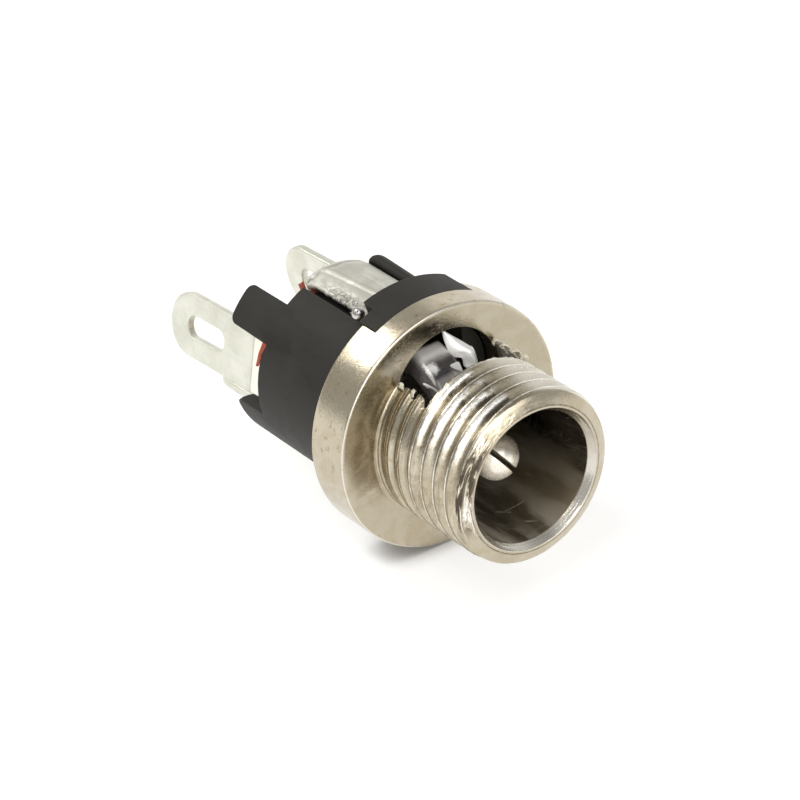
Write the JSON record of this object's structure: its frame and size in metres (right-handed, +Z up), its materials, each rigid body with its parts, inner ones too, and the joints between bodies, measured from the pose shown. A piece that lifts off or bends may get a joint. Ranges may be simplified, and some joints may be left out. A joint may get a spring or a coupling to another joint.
{
  "type": "dc barrel jack",
  "caption": "Panel-mount DC barrel jack with a threaded metal bushing and round flange, a contact spring seen through a window, a moulded block and solder lugs.",
  "frame": {"origin": "centre of the flange's seating face, on the thread's axis", "axes": "-Y out of the mouth, toward the plug; +Y toward the solder lugs; +Z up through the key and the contact window"},
  "size_m": [0.0114, 0.0213, 0.0114],
  "materials": {
    "bushing_nickel": "bright nickel plating on turned brass",
    "housing_plastic": "black moulded thermoplastic, satin",
    "pin_nickel": "nickel plated, turned and split",
    "lug_tin": "tin-plated sheet, satin",
    "spring_nickel": "plated spring strip, satin with bright tip",
    "fibre": "red-brown vulcanised fibre"
  },
  "bodies": {
    "root": {"threaded_bushing": "bushing_nickel", "housing": "housing_plastic", "centre_pin": "pin_nickel", "pin_terminal": "lug_tin", "contact_spring": "spring_nickel", "barrel_terminal": "lug_tin", "fibre_washer": "fibre"}
  },
  "joints": []
}
